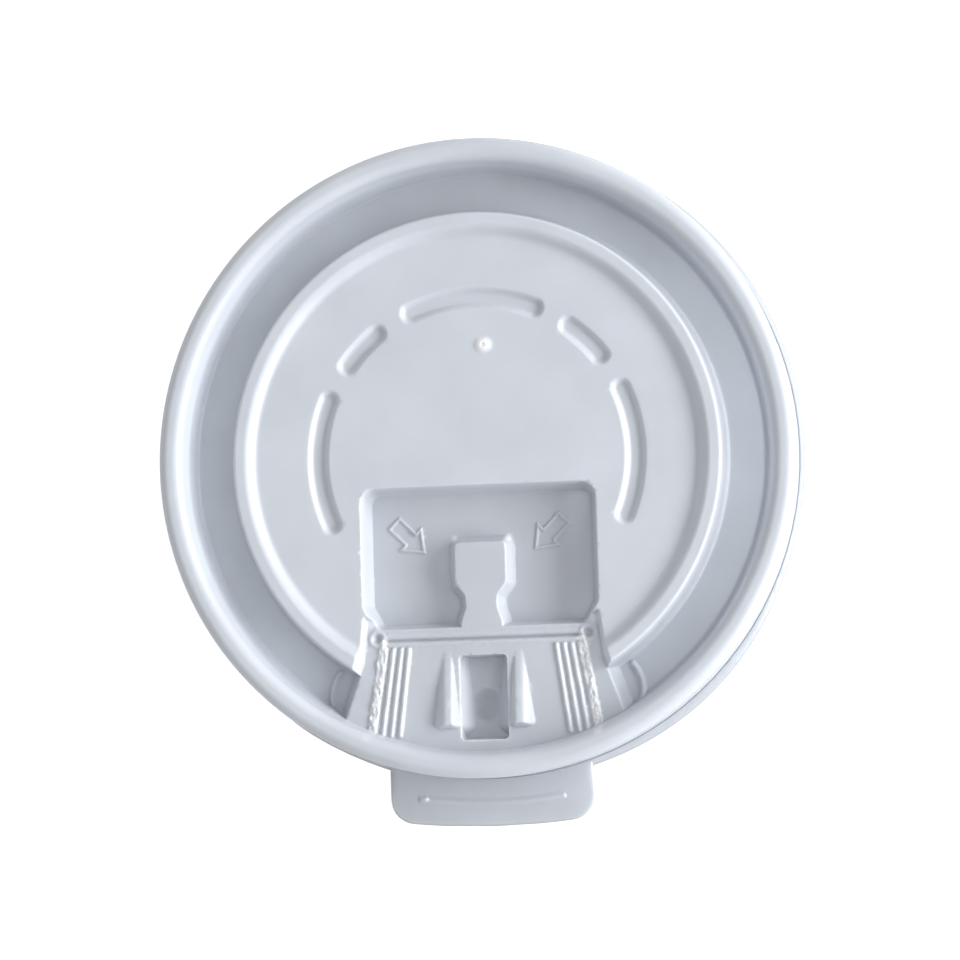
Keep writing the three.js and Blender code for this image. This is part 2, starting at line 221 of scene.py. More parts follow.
def arc_gap(x: Array, y: Array, radius: float, middle: float, spread: float, half: float) -> Array:
    """Distance from a band along an arc round the origin, with round ends.

    Args:
        x: Plan places across.
        y: Plan places along.
        radius: The arc's radius.
        middle: The direction of its middle in degrees.
        spread: Degrees from the middle to either end.
        half: Half the band's width.

    Returns:
        The distance of each place from the arc's nearest point, less the half width.
    """
    angle = np.arctan2(y, x) - math.radians(middle)
    angle = np.arctan2(np.sin(angle), np.cos(angle))
    angle = np.clip(angle, -math.radians(spread), math.radians(spread)) + math.radians(middle)
    return np.hypot(x - radius * np.cos(angle), y - radius * np.sin(angle)) - half


# The sheet's forms.


@dataclass
class Relief:
    """Heights over plan places, which the forms press down or raise one after the other."""

    x: Array
    y: Array
    height: Array
    side: Side
    sheet: float

    def part(self, low: tuple[float, float], high: tuple[float, float]) -> "tuple[Array, Relief]":
        """Picks the places within a plan box.

        Args:
            low: The box's low corner.
            high: Its high corner.

        Returns:
            The rows of those places, and a relief of them alone.
        """
        rows = np.nonzero((self.x > low[0]) & (self.x < high[0]) & (self.y > low[1]) & (self.y < high[1]))[0]
        return rows, Relief(self.x[rows], self.y[rows], self.height[rows], self.side, self.sheet)

    def shift(self, slope: float) -> float:
        """How far a corner moves sideways on the underside, so that the wall keeps the sheet's thickness.

        Args:
            slope: How far the wall leans for each unit it rises.

        Returns:
            The sheet times the tangent of half the wall's angle, and nothing on the top.
        """
        if self.side is Side.TOP:
            return 0.0
        return self.sheet * math.tan(0.5 * math.atan2(1.0, slope))

    def level(self, height: float) -> float:
        """A height on the top, or the sheet lower on the underside."""
        return height if self.side is Side.TOP else height - self.sheet

    def press(self, gap: Array, floor: float, slope: float, foot: float, brim: float | Array) -> None:
        """Presses a recess: floor inside the outline, and a wall that leans outwards from it.

        Args:
            gap: Signed distance from the floor's outline.
            floor: The height of the floor's top.
            slope: How far the wall leans for each unit it rises.
            foot: Blend of wall and floor, in height.
            brim: Blend of wall and surroundings, in height.
        """
        rise = soft_high((gap - self.shift(slope)) / slope, np.zeros_like(gap), foot)
        self.height = soft_low(self.height, self.level(floor) + rise, brim)

    def lift(self, gap: Array, top: float, slope: float, brow: float, foot: float | Array) -> None:
        """Raises a block: flat top inside the outline, and a flank that falls away from it.

        Args:
            gap: Signed distance from the top's outline.
            top: The height of the block's top.
            slope: How far the flank leans for each unit it falls.
            brow: Blend of flank and top, in height.
            foot: Blend of flank and surroundings, in height.
        """
        fall = soft_high((gap + self.shift(slope)) / slope, np.zeros_like(gap), brow)
        self.height = soft_high(self.height, self.level(top) - fall, foot)

    def bead(self, gap: Array, height: float, slope: float) -> None:
        """Adds a low bead over whatever is there.

        Args:
            gap: Signed distance from the outline of the bead's top.
            height: The bead's height, of which a fine bead shows only a part below.
            slope: How far its flank leans for each unit it falls.
        """
        fall = soft_high(gap / slope, np.zeros_like(gap), height * 0.6)
        share = 1.0 if self.side is Side.TOP else SHOWS_BELOW
        self.height = self.height + share * soft_high(height - fall, np.zeros_like(gap), height * 0.5)


@dataclass
class RoundShape:
    """The turned form: panel, ring, trough, rim and skirt with its snap groove, and the lip."""

    sheet: float = 0.4
    panel: float = 7.4
    rim: float = 10.4
    skirt: float = 45.35
    lip: float = 46.2
    rim_width: float = 3.25
    rim_flat: float = 0.25
    rim_draft: float = 1.0
    trough: float = 3.0
    trough_width: float = 5.6
    ring: float = 8.6
    ring_width: float = 1.9
    crown: float = field(init=False)

    def __post_init__(self) -> None:
        """Works the profile out: z against radius inside the crown, and a line by length outside it."""
        rim_in = self.skirt - self.rim_width
        foot = rim_in - self.rim_draft
        ring_foot = foot - self.trough_width
        ring_out = ring_foot - 0.7
        ring_in = ring_out - self.ring_width
        turn = 0.5 * (self.rim_width - self.rim_flat)
        self.crown = rim_in + turn + 0.5 * self.rim_flat
        self.ring_in, self.ring_out, self.foot = ring_in, ring_out, foot
        inner = rounded([(0, self.panel), (ring_in - 1.2, self.panel, 0.9), (ring_in, self.ring, 0.5),
                         (ring_out, self.ring, 0.45), (ring_foot, self.trough, 0.45), (foot, self.trough, 0.5),
                         (rim_in, self.rim, turn), (self.crown, self.rim)], 1.0)
        self.radii = np.arange(0, self.crown + 1.0, 0.01)
        self.top = np.interp(self.radii, inner[:, 0], inner[:, 1])
        reach = np.linspace(-self.sheet, self.sheet, 81)
        drop = np.sqrt(self.sheet ** 2 - reach ** 2)
        nearby = np.interp(np.clip(self.radii[:, None] + reach, 0, None), self.radii, self.top)
        self.under = (nearby - drop).min(1)
        within = self.skirt - self.sheet
        outer = rounded([(self.crown, self.rim), (self.skirt, self.rim, turn), (self.skirt, 4.6, 0.6),
                         (self.skirt - 0.7, 3.1, 0.5), (self.skirt, 1.6, 0.6), (self.skirt, self.sheet, 0.25),
                         (self.lip, self.sheet, 0.19), (self.lip, 0.0, 0.19), (within, 0.0, 0.35),
                         (within, 1.5, 0.6), (within - 0.7, 3.1, 0.5), (within, 4.7, 0.6),
                         (within, self.rim - self.sheet, turn - self.sheet),
                         (self.crown, self.rim - self.sheet)], 1.0)
        steps = np.hypot(*np.diff(outer, axis=0).T)
        length = np.concatenate([[0.0], np.cumsum(steps)])
        keep = np.concatenate([[True], steps > 1e-9])
        self.wall_at, self.wall = length[keep] + self.crown, outer[keep]
        self.total = float(self.wall_at[-1]) + self.crown

    def height(self, radius: Array, side: Side) -> Array:
        """Height of the turned form inside the crown, read from its worked-out profile."""
        return np.interp(radius, self.radii, self.top if side is Side.TOP else self.under)

    def rings(self) -> Array:
        """The first rings of the mesh.

        Returns:
            Lengths along the profile, from pole to pole.
        """
        inside = np.concatenate([np.arange(2.5, 30, 2.5), [self.ring_in - 1.2, self.ring_in, self.ring_out],
                                 [self.ring_out + 0.7, 38.2, self.foot, self.crown - 1.6, self.crown]])
        middle = bends(self.wall, self.wall_at)
        middle = middle[(middle > self.crown + 0.02) & (middle < self.total - self.crown - 0.02)]
        return np.concatenate([inside, middle, self.total - inside[::-1]])


@dataclass
class Slots:
    """Shallow grooves in a broken ring round the centre panel."""

    radius: float = 22.7
    half_width: float = 0.85
    depth: float = 0.7
    slope: float = 0.8
    places: tuple[tuple[float, float], ...] = ((0, 23), (90, 23), (180, 23), (45, 7.7), (135, 7.7))

    def form(self, relief: Relief, panel: float) -> None:
        """Presses each groove into the panel.

        Args:
            relief: The heights to change.
            panel: The panel's height.
        """
        for middle, spread in self.places:
            gap = arc_gap(relief.x, relief.y, self.radius, middle, spread, self.half_width)
            relief.press(gap, panel - self.depth, self.slope, 0.35, 0.35)


@dataclass
class Vent:
    """Pinhole's crater: a raised whitened seat with a small pit in it."""

    x: float = 1.5
    y: float = 15.9
    seat: float = 1.1
    height: float = 0.34
    pit: float = 0.42
    pit_depth: float = 0.62

    def form(self, relief: Relief) -> None:
        """Raises the seat as a bell and sinks the pit in its middle.

        Args:
            relief: The heights to change.
        """
        far = np.hypot(relief.x - self.x, (relief.y - self.y) * 1.15)
        relief.height = relief.height + self.height * bump(far / (self.seat + 0.55))
        if relief.side is Side.TOP:
            relief.height = relief.height - self.pit_depth * bump(far / self.pit)


@dataclass
class FrontPanel:
    """Bridge over the trough from the pocket to the rim, which carries the flap's fittings."""

    height: float = 6.2
    slope: float = 0.35
    back: tuple[float, float] = (16.33, -22.6)
    ring: tuple[float, float] = (17.0, -28.6)
    rim: tuple[float, float] = (20.33, -37.78)

    def form(self, relief: Relief) -> None:
        """Fills the trough to the panel's height and cuts the ring down to it.

        Args:
            relief: The heights to change.
        """
        rows, near = relief.part((-26, -44), (26, -18))
        sides = [self.back, self.ring, self.rim]
        along = np.array(self.rim) - self.ring
        end = np.array(self.rim) + along * 0.55
        fill = both_sides(np.array([*sides, end, (0.01, -47.0)]))
        gap, radius = polygon_gap(near.x, near.y, fill), np.hypot(near.x, near.y)
        near.lift(gap, self.height, self.slope, 0.6, 0.7)
        brim = 0.7 * ramp(gap / 0.4) * ramp((36.6 - radius) / 1.5) + 1e-6
        cut = Relief(near.x, near.y, near.height, near.side, near.sheet)
        cut.press(gap, self.height, self.slope, 0.4, brim)
        near.height = np.where(radius < 36.7, cut.height, near.height)
        relief.height[rows] = near.height


@dataclass
class FlapPocket:
    """Sunk pocket behind the hinge, where the opened flap is locked."""

    floor: float = 3.4
    slope: float = 0.23
    half_width: float = 15.85
    back: float = -4.9
    front: float = -23.35
    chamfer: tuple[float, float] = (1.5, 2.7)
    corner: float = 1.3

    def outline(self) -> Array:
        """The floor's outline, with round back corners and chamfered front ones.

        Returns:
            Its points, one in each row.
        """
        cx, cy = self.chamfer
        right = rounded([(0, self.back), (self.half_width, self.back, self.corner),
                         (self.half_width, self.front + cy, 0.6), (self.half_width - cx, self.front, 0.6),
                         (0, self.front)], 15.0)
        return both_sides(right)

    def form(self, relief: Relief) -> None:
        """Presses the pocket down from the panel.

        Args:
            relief: The heights to change.
        """
        rows, near = relief.part((-20, -28), (20, -2))
        near.press(polygon_gap(near.x, near.y, self.outline()), self.floor, self.slope, 0.6, 0.55)
        relief.height[rows] = near.height


@dataclass
class LockPost:
    """Post with a neck that joins it to the hinge side; the flap's slot snaps over its head."""

    top: float = 6.2
    slope: float = 0.3
    half_width: float = 3.7
    back: float = -12.0
    shoulder: float = -17.8
    neck: float = 2.3
    neck_back: float = -19.6
    neck_front: float = -21.3
    root: float = 3.0
    hinge: float = -25.6

    def form(self, relief: Relief, front: float) -> None:
        """Raises head, neck and root as one block with leaning flanks.

        Args:
            relief: The heights to change.
            front: The y of the pocket's front wall, which the root runs through.
        """
        rows, near = relief.part((-7, -27), (7, -9))
        right = rounded([(0, self.back), (self.half_width, self.back, 0.7),
                         (self.half_width, self.shoulder, 0.9),
                         (self.neck, self.neck_back, 1.2), (self.neck, self.neck_front, 1.0),
                         (self.root, front, 0.8), (self.root, self.hinge)], 18.0)
        foot = 0.7 * ramp((near.y - front + 0.7) / 0.9) + 1e-6
        near.lift(polygon_gap(near.x, near.y, both_sides(right)), self.top, self.slope, 0.5, foot)
        relief.height[rows] = near.height


@dataclass
class Arrows:
    """Two generic outlined arrows on the pocket's floor, which point at the post."""

    tips: tuple[float, float] = (-8.2, 7.5)
    tip_y: float = -13.2
    length: float = 6.3
    head: float = 3.0
    wing: float = 2.35
    shaft: float = 1.2
    turn: float = 45.0
    line: float = 0.34
    height: float = 0.24

    def outline(self, side: int) -> Array:
        """The arrow's outline, turned towards the post.

        Args:
            side: Minus one for the arrow on the left and one for that on the right.

        Returns:
            Its points, one in each row.
        """
        along = np.array([(0, 0), (-self.head, self.wing), (-self.head, self.shaft), (-self.length, self.shaft),
                          (-self.length, -self.shaft), (-self.head, -self.shaft), (-self.head, -self.wing)])
        angle = math.radians(-self.turn if side < 0 else 180 + self.turn)
        c, s = math.cos(angle), math.sin(angle)
        turned = np.stack([along[:, 0] * c - along[:, 1] * s, along[:, 0] * s + along[:, 1] * c], 1)
        return turned + (self.tips[side > 0], self.tip_y)

    def form(self, relief: Relief) -> None:
        """Raises a fine bead along each outline.

        Args:
            relief: The heights to change.
        """
        for side in (-1, 1):
            rows, near = relief.part((min(side * 6, side * 16), -19), (max(side * 6, side * 16), -7))
            gap = np.abs(polygon_gap(near.x, near.y, self.outline(side)) + 0.5 * self.line) - 0.5 * self.line
            near.bead(gap + 0.05, self.height, 0.6)
            relief.height[rows] = near.height


@dataclass
class Hinge:
    """Fine groove across the panel, with a dimple at each end where the sheet was nicked."""

    y: float = -25.6
    half_length: float = 13.9
    half_width: float = 0.1
    depth: float = 0.5
    slope: float = 0.4
    dimple: tuple[float, float] = (15.0, -25.3)

    def form(self, relief: Relief, panel: float) -> None:
        """Presses the groove and the two dimples, each with a low raised edge round it.

        Args:
            relief: The heights to change.
            panel: The front panel's height.
        """
        rows, near = relief.part((-18, -29), (18, -22))
        ends = (-self.half_length, self.y), (self.half_length, self.y)
        gap = strip_gap(near.x, near.y, *ends, self.half_width)
        near.press(gap, panel - self.depth, self.slope, 0.15, 0.12)
        if near.side is Side.TOP:
            near.height = near.height + 0.1 * bump((gap - 0.55) / 0.4)
        for side in (-1, 1):
            ring = np.hypot(near.x - side * self.dimple[0], near.y - self.dimple[1])
            near.press(ring - 0.4, panel - self.depth, 0.7, 0.2, 0.15)
            near.height = near.height + 0.14 * bump((ring - 1.05) / 0.4)
            if near.side is Side.TOP:
                crushed = np.hypot(near.x - side * (self.dimple[0] - 1.0),
                                   (near.y - self.dimple[1] + 0.6) / 1.5)
                near.height = near.height + 0.2 * bump(crushed / 0.7) * ripple(near.x * 3.1, near.y * 2.3, 5)
        relief.height[rows] = near.height


@dataclass
class Ribs:
    """Four grip ribs on each side of the panel, of which the outermost is broad and crushed."""

    back_y: float = -26.9
    front_y: float = -39.0
    back_x: float = 10.5
    front_x: float = 12.1
    back_pitch: float = 1.1
    front_pitch: float = 1.25
    widths: tuple[float, ...] = (0.35, 0.35, 0.35, 1.1)
    height: float = 0.36

    def lines(self) -> list[tuple[tuple[float, float], tuple[float, float], float]]:
        """Places of all the ribs, on both sides.

        Returns:
            Back end, front end and half width of each.
        """
        found = []
        for side in (-1, 1):
            for k, width in enumerate(self.widths):
                aside = 0.5 * (width - self.widths[0])
                back = (side * (self.back_x + k * self.back_pitch + aside), self.back_y)
                front = (side * (self.front_x + k * self.front_pitch + aside), self.front_y)
                found.append((back, front, 0.5 * width))
        return found

    def form(self, relief: Relief, panel: float) -> None:
        """Raises each rib from the panel; the broad one's top is rippled along it.

        Args:
            relief: The heights to change.
            panel: The front panel's height.
        """
        rows, near = relief.part((-18.5, -41), (18.5, -25.5))
        for a, b, half in self.lines():
            gap = strip_gap(near.x, near.y, a, b, half - 0.03)
            share = 1.0 if near.side is Side.TOP else SHOWS_BELOW
            top = near.level(panel) + share * self.height * (1.0 + 0.18 * ripple(near.x * 0.9, near.y * 0.8, 3))
            if half > 0.4 and near.side is Side.TOP:
                top = top - 0.08 + 0.13 * ripple(near.x * 2.7 + near.y * 0.35, near.y * 1.15, 11)
                top = top + 0.08 * ripple(near.x * 5.3, near.y * 3.1, 12)
            near.height = soft_high(near.height, top - soft_high(gap / 0.7, np.zeros_like(gap), 0.2), 0.1)
        relief.height[rows] = near.height


@dataclass
class KeyPocket:
    """Narrow pocket that takes the post's head when the flap is folded back, with a round bowl in its floor."""

    half_width: float = 3.15
    back: float = -28.2
    front: float = -39.7
    depth: float = 3.0
    slope: float = 0.07
    corner: float = 0.4
    bowl_y: float = -35.0
    bowl: float = 2.2
    bowl_depth: float = 1.15
    bevel: float = 0.55
    bevel_depth: float = 0.3

    def form(self, relief: Relief, panel: float) -> None:
        """Presses the pocket, then the bowl as part of a sphere below its floor.

        The sphere's radius is the sum of the squares of the bowl's radius and depth, over twice the depth.

        Args:
            relief: The heights to change.
            panel: The front panel's height.
        """
        rows, near = relief.part((-5, -42), (5, -26.5))
        right = rounded([(0, self.back), (self.half_width, self.back, self.corner),
                         (self.half_width, self.front, self.corner), (0, self.front)], 22.0)
        near.press(polygon_gap(near.x, near.y, both_sides(right)), panel - self.depth, self.slope, 0.6, 0.35)
        far = np.hypot(near.x, near.y - self.bowl_y)
        floor = panel - self.depth - self.bevel_depth
        bevel = near.level(floor) + np.maximum(far - self.bowl, 0) * self.bevel_depth / self.bevel
        near.height = np.where(far < self.bowl + 1.2, soft_low(near.height, bevel, 0.03), near.height)
        radius = (self.bowl ** 2 + self.bowl_depth ** 2) / (2 * self.bowl_depth)
        grown = radius if near.side is Side.TOP else radius + near.sheet
        cup = floor - self.bowl_depth + radius - np.sqrt(np.maximum(grown ** 2 - far ** 2, 0.0))
        near.height = np.where(far < self.bowl + 0.6, soft_low(near.height, cup, 0.06), near.height)
        relief.height[rows] = near.height


@dataclass
class Wedges:
    """Two tapered blocks beside the key pocket, low at the hinge and blunt at the rim."""

    inner: float = 4.4
    outer: float = 5.75
    inner_slope: float = 0.6
    outer_slope: float = 0.95
    back: float = -27.4
    front: float = -37.7
    height: float = 1.5

    def form(self, relief: Relief, panel: float) -> None:
        """Raises each wedge: a ramp along its length, from which flanks fall to both sides and the front.

        A point's fall is the length of its side and front falls taken together, so that the nose is round.

        Args:
            relief: The heights to change.
            panel: The front panel's height.
        """
        rows, near = relief.part((-9.5, -41), (9.5, -26))
        share = (self.back - near.y) / (self.back - self.front)
        climb = near.level(panel) + self.height * np.clip(share, -0.2, 1.0)
        aside, grown = np.abs(near.x), near.shift(0.5)
        zero = np.zeros_like(aside)
        inwards = soft_high((self.inner - aside + grown) / self.inner_slope, zero, 0.5)
        outwards = soft_high((aside - self.outer + grown) / self.outer_slope, zero, 0.5)
        forwards = soft_high((self.front - near.y + grown) / 0.4, zero, 0.5)
        fall = np.hypot(inwards + outwards, forwards)
        near.height = soft_high(near.height, climb - fall, 0.12)
        relief.height[rows] = near.height


@dataclass
class Crescents:
    """Two short bowed ridges across the trough, beside the panel."""

    radius: float = 39.05
    angle: float = -55.5
    half_length: float = 2.6
    bow: float = 0.7
    lean: float = 12.0
    height: float = 0.5

    def form(self, relief: Relief) -> None:
        """Raises each ridge as a bead along a bowed line.

        Args:
            relief: The heights to change.
        """
        bend = (self.half_length ** 2 + self.bow ** 2) / (2 * self.bow)
        spread = math.degrees(math.asin(self.half_length / bend))
        angle, lean = math.radians(self.angle), math.radians(self.lean)
        middle = (self.radius * math.cos(angle), self.radius * math.sin(angle))
        for side in (-1, 1):
            rows, near = relief.part((min(side * 18, side * 26), -37), (max(side * 18, side * 26), -27))
            px, py = side * near.x - middle[0], near.y - middle[1]
            u = px * math.cos(lean) + py * math.sin(lean) + bend
            v = -px * math.sin(lean) + py * math.cos(lean)
            near.bead(arc_gap(u, v, bend, 0.0, spread, 0.2), self.height, 0.55)
            relief.height[rows] = near.height


@dataclass
class Tab:
    """Lift tab at the front of the lip, with a bowed crease on it."""

    half_width: float = 14.6
    reach: float = 6.0
    corner: float = 3.6
    bow: float = 0.9
    setback: float = 3.3
    crease: float = 10.2
    crease_bow: float = 0.8
    crease_height: float = 0.25
    pimple: tuple[float, float] = (-9.4, -48.1)
    pimple_height: float = 0.16

    def edge(self, lip: float) -> tuple[Array, Array]:
        """Direction and radius of the tab's outline, from the outline's points about the axis.

        Args:
            lip: The lip's radius.

        Returns:
            Angles from the front, ascending, and the radius at each.
        """
        end = -(lip + self.reach)
        root = -math.sqrt(lip ** 2 - self.half_width ** 2) + 0.6
        right = rounded([(self.half_width, root), (self.half_width, end + self.bow, self.corner),
                         (self.half_width * 0.5, end + 0.25 * self.bow, 30.0), (0, end)], 1.5)
        fine = np.linspace(0, len(right) - 1, 400)
        line = np.stack([np.interp(fine, np.arange(len(right)), right[:, k]) for k in (0, 1)], 1)
        angle, radius = np.arctan2(line[:, 0], -line[:, 1])[::-1], np.hypot(*line.T)[::-1]
        return np.concatenate([-angle[::-1], angle]), np.concatenate([radius[::-1], radius])

    def relief(self, x: Array, y: Array, lip: float) -> Array:
        """Height of the tab's crease, a bead along a shallow arc that sags to the front, and of its pimple.

        Args:
            x: Plan places across.
            y: Plan places along.
            lip: The lip's radius.

        Returns:
            The height at each place, nothing away from them.
        """
        bend = (self.crease ** 2 + self.crease_bow ** 2) / (2 * self.crease_bow)
        v = y + lip + self.reach - self.setback - bend
        gap = arc_gap(x, v, bend, -90.0, math.degrees(math.asin(self.crease / bend)), 0.2)
        fall = soft_high(gap / 1.0, np.zeros_like(gap), 0.2)
        pimple = self.pimple_height * bump(np.hypot(x - self.pimple[0], y - self.pimple[1]) / 0.4)
        return soft_high(self.crease_height - fall, np.zeros_like(gap), 0.12) + pimple


# The closed surface.


@dataclass
class LidSkin:
    """The whole sheet as one surface over a direction and a length along the profile."""

    shape: RoundShape = field(default_factory=RoundShape)
    slots: Slots = field(default_factory=Slots)
    vent: Vent = field(default_factory=Vent)
    panel: FrontPanel = field(default_factory=FrontPanel)
    pocket: FlapPocket = field(default_factory=FlapPocket)
    post: LockPost = field(default_factory=LockPost)
    arrows: Arrows = field(default_factory=Arrows)
    hinge: Hinge = field(default_factory=Hinge)
    ribs: Ribs = field(default_factory=Ribs)
    keyhole: KeyPocket = field(default_factory=KeyPocket)
    wedges: Wedges = field(default_factory=Wedges)
    crescents: Crescents = field(default_factory=Crescents)
    tab: Tab = field(default_factory=Tab)
    tolerance: float = 0.032
    coarser_below: float = 3.0
    straight_within: float = 31.0
    sectors: int = 96
    shortest: float = 0.05
    aside: float = 0.03
    warp: tuple[tuple[float, float, float], ...] = ((-48, 34, 0.55), (-150, 26, -0.22), (-125, 12, 0.1))

    def __post_init__(self) -> None:
        """Works out the tab's outline about the axis."""
        self.tab_angle, self.tab_radius = self.tab.edge(self.shape.lip)

    def height(self, x: Array, y: Array, side: Side) -> Array:
        """Height of one face over plan places inside the crown.

        Args:
            x: Plan places across.
            y: Plan places along.
            side: Which face of the sheet.

        Returns:
            The turned form's height, on which every form is pressed or raised in the order it was made.
        """
        relief = Relief(x, y, self.shape.height(np.hypot(x, y), side), side, self.shape.sheet)
        self.panel.form(relief)
        self.pocket.form(relief)
        self.post.form(relief, self.pocket.front)
        self.arrows.form(relief)
        self.hinge.form(relief, self.panel.height)
        self.ribs.form(relief, self.panel.height)
        self.keyhole.form(relief, self.panel.height)
        self.wedges.form(relief, self.panel.height)
        self.crescents.form(relief)
        self.slots.form(relief, self.shape.panel)
        self.vent.form(relief)
        return relief.height

    def edge(self, c: Array, s: Array) -> Array:
        """Radius of the lip's edge by direction: the lip with its slight warp, or the tab's outline.

        Args:
            c: Cosine of the direction.
            s: Sine of the direction.

        Returns:
            The larger of the two radii. The warp is a sum of bells over the direction.
        """
        lip = np.full(len(c), self.shape.lip)
        for middle, width, strength in self.warp:
            turn = np.arctan2(s, c) - math.radians(middle)
            lip += strength * bump(np.arctan2(np.sin(turn), np.cos(turn)) / math.radians(width))
        front = np.arctan2(c, -s)
        tab = np.interp(front, self.tab_angle, self.tab_radius, left=0.0, right=0.0)
        return np.maximum(lip, tab)

    def place(self, c: Array, s: Array, along: Array) -> Array:
        """Point of the closed surface for each direction and length along the profile.

        Args:
            c: Cosine of the direction.
            s: Sine of the direction.
            along: Length from the top pole, over crown and lip, to the underside's pole.

        Returns:
            One row of x, y and height for each.
        """
        shape = self.shape
        point = np.empty((len(c), 3))
        over = along <= shape.crown
        below = along >= shape.total - shape.crown
        for rows, side in ((over, Side.TOP), (below, Side.UNDER)):
            radius = along[rows] if side is Side.TOP else shape.total - along[rows]
            x, y = radius * c[rows], radius * s[rows]
            point[rows] = np.stack([x, y, self.height(x, y, side)], 1)
        wall = ~(over | below)
        cw, sw, at = c[wall], s[wall], along[wall]
        radius = np.interp(at, shape.wall_at, shape.wall[:, 0])
        z = np.interp(at, shape.wall_at, shape.wall[:, 1])
        out = np.clip((radius - shape.skirt - 0.22) / 0.35, 0, 1) * (z < 1.0)
        radius = radius + out * (self.edge(cw, sw) - shape.lip)
        x, y = radius * cw, radius * sw
        top = (z > 0.3) & (out > 0)
        z = z + np.where(top, self.tab.relief(x, y, shape.lip), 0.0)
        point[wall] = np.stack([x, y, z], 1)
        return point

    def between(self, c: Array, s: Array, along: Array, a: Array, b: Array,
                t: float) -> tuple[Array, Array, Array]:
        """Place in the surface's parameters at a share of the way along an edge.

        Near the poles the way is straight in plan, and elsewhere it follows direction and length.

        Args:
            c: Cosine of each vertex's direction.
            s: Sine of each vertex's direction.
            along: Length along the profile to each vertex.
            a: The vertex at each edge's start.
            b: The vertex at its end.
            t: The share of the way.

        Returns:
            Cosine, sine and length of each place.
        """
        total = self.shape.total
        la, lb = along[a], along[b]
        down = (la > total * 0.5) & (lb > total * 0.5)
        ra, rb = np.where(down, total - la, la), np.where(down, total - lb, lb)
        flat = (ra < self.straight_within) & (rb < self.straight_within)
        x = ra * c[a] * (1 - t) + rb * c[b] * t
        y = ra * s[a] * (1 - t) + rb * s[b] * t
        r = np.hypot(x, y)
        ux, uy = c[a] * (1 - t) + c[b] * t, s[a] * (1 - t) + s[b] * t
        n = np.where(flat, np.maximum(r, 1e-9), np.maximum(np.hypot(ux, uy), 1e-9))
        length = np.where(flat, np.where(down, total - r, r), la * (1 - t) + lb * t)
        return np.where(flat, x, ux) / n, np.where(flat, y, uy) / n, length

    def longest_allowed(self, middle: Array) -> Array:
        """Longest edge by where it lies: short over fine forms, long on plain ones.

        Args:
            middle: The edges' middles, one in each row.

        Returns:
            The most that each edge may measure.
        """
        x, y = middle[:, 0], middle[:, 1]
        limit = np.full(len(x), 3.5)
        limit[np.abs(np.hypot(x, y) - self.slots.radius) < 2.2] = 0.9
        limit[(np.abs(x) < 12) & (y < -45)] = 1.2
        limit[(np.abs(x) < 22) & (y < -3) & (np.hypot(x, y) < self.shape.crown)] = 0.8
        limit[(np.abs(np.abs(x) - 22) < 4) & (np.abs(y + 32) < 5)] = 0.7
        limit[np.hypot(x - self.vent.x, y - self.vent.y) < 2.5] = 0.3
        return limit

    def triangles(self, tolerance: float, rounds: int) -> tuple[Array, Array, Array, Array, Array]:
        """Splits edges until the flat triangles keep to the surface.

        Rings of points along the profile are joined first. An edge is split in its middle where the surface
        leaves it by more than the tolerance at a quarter, half or three quarters of it, or where it is too
        long for its place, and with any edge of a triangle its longest one is split as well.

        Args:
            tolerance: The most the surface may leave an edge, in millimetres.
            rounds: The most times that all edges are looked at.

        Returns:
            Cosine, sine and length of each vertex, its point, and the triangles' corners.
        """
        rings, sectors = self.shape.rings(), self.sectors
        turn = np.linspace(0, 2 * np.pi, sectors, endpoint=False) - np.pi / 2
        c = np.concatenate([[1.0], np.tile(np.cos(turn), len(rings)), [1.0]])
        s = np.concatenate([[0.0], np.tile(np.sin(turn), len(rings)), [0.0]])
        along = np.concatenate([[0.0], np.repeat(rings, sectors), [self.shape.total]])
        k = np.arange(sectors)
        n = (k + 1) % sectors
        base = 1 + np.arange(len(rings) - 1)[:, None] * sectors
        a, b, d, e = base + k, base + n, base + sectors + k, base + sectors + n
        last = len(c) - 1
        low = last - sectors
        corners = np.concatenate([
            np.stack([np.zeros_like(k), 1 + k, 1 + n], 1),
            np.stack([a, d, e], 2).reshape(-1, 3), np.stack([a, e, b], 2).reshape(-1, 3),
            np.stack([low + k, np.full_like(k, last), low + n], 1)])
        point = self.place(c, s, along)
        settled = np.zeros(0, np.int64)
        wide = np.int64(1) << 32
        for turn_no in range(rounds):
            ends = np.stack([corners, np.roll(corners, -1, 1)], 2).reshape(-1, 2)
            keys = ends.min(1).astype(np.int64) * wide + ends.max(1)
            keys, which = np.unique(keys, return_inverse=True)
            which = which.reshape(-1, 3)
            a, b = keys // wide, keys % wide
            split = np.zeros(len(keys), bool)
            fresh = np.nonzero(~np.isin(keys, settled, assume_unique=True))[0]
            fa, fb = a[fresh], b[fresh]
            chord = point[fb] - point[fa]
            length = np.maximum(np.linalg.norm(chord, axis=1), 1e-9)
            off = np.zeros(len(fresh))
            for t in (0.25, 0.5, 0.75):
                lean = self.place(*self.between(c, s, along, fa, fb, t)) - point[fa]
                ahead = np.einsum("ij,ij->i", lean, chord)[:, None] / length[:, None] ** 2
                off = np.maximum(off, np.linalg.norm(lean - ahead * chord, axis=1))
            below = np.minimum(along[fa], along[fb]) > self.shape.total - self.shape.crown
            long = length > self.longest_allowed(0.5 * (point[fa] + point[fb])) * np.where(below, 2.0, 1.0)
            off = np.where(below, off / self.coarser_below, off)
            split[fresh] = ((off > tolerance) & (length > self.shortest)) | long
            settled = np.sort(np.concatenate([settled, keys[fresh[~split[fresh]]]]))
            if not split.any():
                break
            spans = np.linalg.norm(point[b] - point[a], axis=1)
            longest = np.argmax(spans[which], 1)
            pick = which[np.arange(len(which)), longest]
            for _ in range(40):
                more = split[which].any(1) & ~split[pick]
                if not more.any():
                    break
                split[pick[more]] = True
            rows = np.nonzero(split)[0]
            number = np.full(len(keys), -1)
